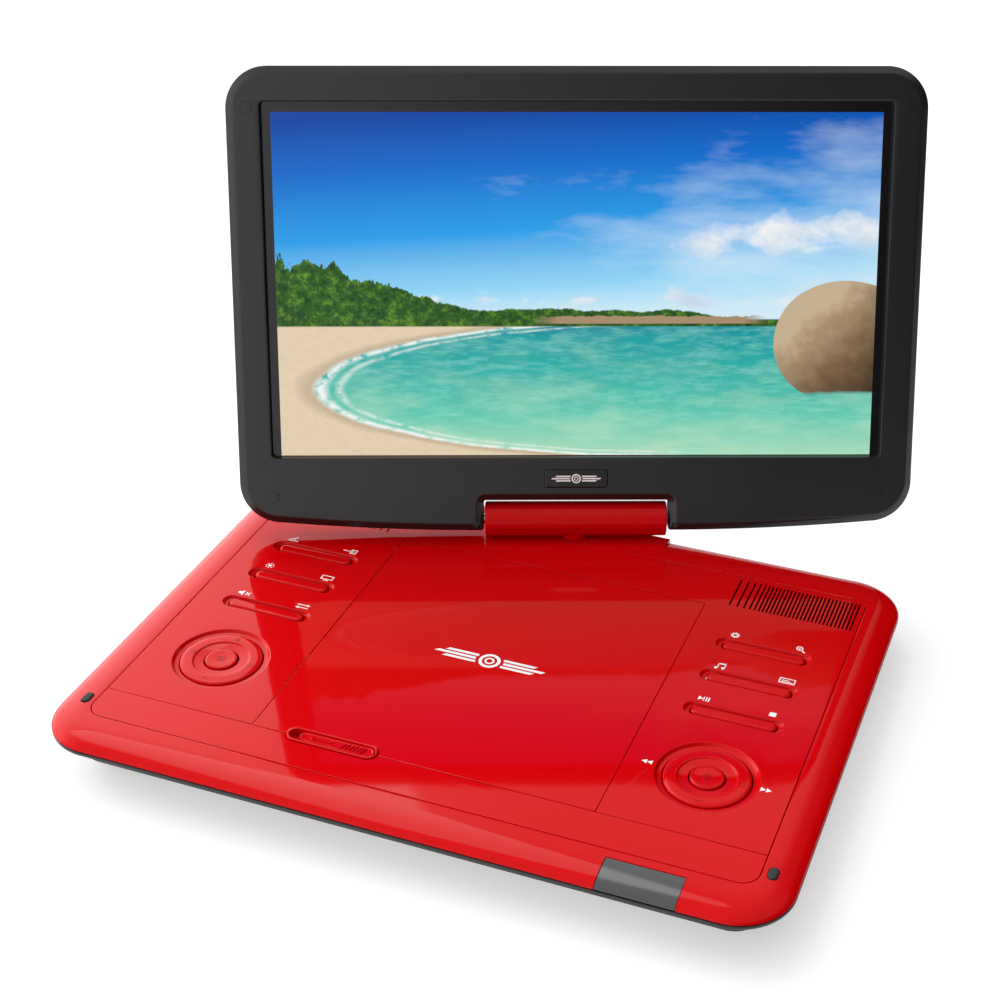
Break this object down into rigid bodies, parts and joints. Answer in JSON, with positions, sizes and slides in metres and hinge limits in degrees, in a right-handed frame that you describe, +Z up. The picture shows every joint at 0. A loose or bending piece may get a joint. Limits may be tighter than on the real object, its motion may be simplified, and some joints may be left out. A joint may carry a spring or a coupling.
{
  "type": "portable dvd player",
  "caption": "Portable disc player: flat base with a hinged disc lid, side control panels and a large widescreen display on a central swivel and tilt hinge.",
  "frame": {"origin": "bottom centre of the bounding box with the screen as it stands, on the plane the feet rest on", "axes": "+X to the user's right, +Y away from the user, +Z up"},
  "size_m": [0.369, 0.3832, 0.2617],
  "materials": {
    "red_gloss": "high gloss moulded plastic, deep red",
    "black_satin": "satin gloss moulded plastic, black",
    "black_matte": "fine textured moulded plastic, black",
    "rubber": "matt moulded rubber",
    "smoked_window": "smoked translucent plastic",
    "steel": "turned and pressed steel",
    "circuit_board": "green solder mask",
    "battery_wrap": "blue heat shrink wrap",
    "lcd_face": "lit display face behind a thin glossy polariser"
  },
  "bodies": {
    "base": {"av_jack": "black_satin", "battery_door": "black_satin", "battery_door_screw": "steel", "battery_pack": "battery_wrap", "bottom_shell": "black_satin", "bumper_left": "rubber", "bumper_right": "rubber", "card_slot": "black_satin", "control_panel": "red_gloss", "dc_inlet": "black_satin", "disc_deck": "black_matte", "foot_1": "rubber", "foot_2": "rubber", "foot_3": "rubber", "foot_4": "rubber", "front_trim_strip": "red_gloss", "guide_rod_left": "steel", "guide_rod_right": "steel", "headphone_jack": "black_satin", "hinge_bracket": "steel", "ir_receiver": "black_satin", "ir_window": "smoked_window", "main_board": "circuit_board", "slider_bezel": "red_gloss", "speaker_left": "black_matte", "speaker_right": "black_matte", "spindle_motor": "steel", "top_shell": "red_gloss", "usb_port": "steel"},
    "hinge": {"hinge_barrel": "red_gloss", "swivel_post": "red_gloss", "swivel_washer": "steel"},
    "screen": {"screen_bezel": "black_satin", "screen_back_cover": "black_satin", "lcd_panel": "lcd_face", "screen_board": "circuit_board", "nameplate": "black_satin", "screw_cover_1": "black_matte", "screw_cover_2": "black_matte", "screw_cover_3": "black_matte", "screw_cover_4": "black_matte", "tilt_pin_left": "steel", "tilt_pin_right": "steel", "hinge_leaf_left": "steel", "hinge_leaf_right": "steel"},
    "disc_lid": {"disc_lid": "red_gloss"},
    "spindle": {"spindle_hub": "black_satin"},
    "pickup": {"optical_pickup": "black_matte"},
    "open_slider": {"open_slider": "red_gloss"},
    "power_switch": {"power_switch": "black_matte"},
    "rocker_left_1": {"rocker_left_1": "red_gloss"},
    "rocker_left_2": {"rocker_left_2": "red_gloss"},
    "rocker_left_3": {"rocker_left_3": "red_gloss"},
    "dial_ring_left": {"dial_ring_left": "red_gloss"},
    "centre_button_left": {"centre_button_left": "red_gloss"},
    "rocker_right_1": {"rocker_right_1": "red_gloss"},
    "rocker_right_2": {"rocker_right_2": "red_gloss"},
    "rocker_right_3": {"rocker_right_3": "red_gloss"},
    "dial_ring_right": {"dial_ring_right": "red_gloss"},
    "centre_button_right": {"centre_button_right": "red_gloss"}
  },
  "joints": [
    {"name": "screen_swivel", "type": "hinge", "parent": "base", "child": "hinge", "pos_m": [0.00704, 0.05586, 0.0365], "axis": [0, 0, 1], "range_deg": [-21.3, 158.7]},
    {"name": "screen_tilt", "type": "hinge", "parent": "hinge", "child": "screen", "pos_m": [0.00704, 0.05586, 0.0365], "axis": [0.9317, 0.3633, 0], "range_deg": [-71.4, 108.6]},
    {"name": "disc_lid_hinge", "type": "hinge", "parent": "base", "child": "disc_lid", "pos_m": [0.00704, 0.01686, 0.0253], "axis": [-1, 0, 0], "range_deg": [0, 45]},
    {"name": "spindle_spin", "type": "hinge", "parent": "base", "child": "spindle", "pos_m": [0.00704, -0.06614, 0.017], "axis": [0, 0, 1], "continuous": true},
    {"name": "pickup_slide", "type": "slide", "parent": "base", "child": "pickup", "axis": [0, -1, 0], "range_m": [0, 0.02]},
    {"name": "open_slide", "type": "slide", "parent": "base", "child": "open_slider", "axis": [-1, 0, 0], "range_m": [0, 0.0045], "stiffness_N_per_m": 350},
    {"name": "power_switch_slide", "type": "slide", "parent": "base", "child": "power_switch", "axis": [0, -1, 0], "range_m": [-0.002, 0.002]},
    {"name": "rocker_left_1_tip", "type": "hinge", "parent": "base", "child": "rocker_left_1", "pos_m": [-0.11506, -0.01114, 0.0202], "axis": [0, 1, 0], "range_deg": [-2, 2], "stiffness_Nm_per_rad": 0.5},
    {"name": "rocker_left_2_tip", "type": "hinge", "parent": "base", "child": "rocker_left_2", "pos_m": [-0.11506, -0.03834, 0.0202], "axis": [0, 1, 0], "range_deg": [-2, 2], "stiffness_Nm_per_rad": 0.5},
    {"name": "rocker_left_3_tip", "type": "hinge", "parent": "base", "child": "rocker_left_3", "pos_m": [-0.11506, -0.06554, 0.0202], "axis": [0, 1, 0], "range_deg": [-2, 2], "stiffness_Nm_per_rad": 0.5},
    {"name": "dial_ring_left_press", "type": "slide", "parent": "base", "child": "dial_ring_left", "axis": [0, 0, -1], "range_m": [0, 0.0008], "stiffness_N_per_m": 1500},
    {"name": "centre_button_left_press", "type": "slide", "parent": "base", "child": "centre_button_left", "axis": [0, 0, -1], "range_m": [0, 0.0008], "stiffness_N_per_m": 1500},
    {"name": "rocker_right_1_tip", "type": "hinge", "parent": "base", "child": "rocker_right_1", "pos_m": [0.12914, -0.01114, 0.0202], "axis": [0, 1, 0], "range_deg": [-2, 2], "stiffness_Nm_per_rad": 0.5},
    {"name": "rocker_right_2_tip", "type": "hinge", "parent": "base", "child": "rocker_right_2", "pos_m": [0.12914, -0.03834, 0.0202], "axis": [0, 1, 0], "range_deg": [-2, 2], "stiffness_Nm_per_rad": 0.5},
    {"name": "rocker_right_3_tip", "type": "hinge", "parent": "base", "child": "rocker_right_3", "pos_m": [0.12914, -0.06554, 0.0202], "axis": [0, 1, 0], "range_deg": [-2, 2], "stiffness_Nm_per_rad": 0.5},
    {"name": "dial_ring_right_press", "type": "slide", "parent": "base", "child": "dial_ring_right", "axis": [0, 0, -1], "range_m": [0, 0.0008], "stiffness_N_per_m": 1500},
    {"name": "centre_button_right_press", "type": "slide", "parent": "base", "child": "centre_button_right", "axis": [0, 0, -1], "range_m": [0, 0.0008], "stiffness_N_per_m": 1500}
  ]
}
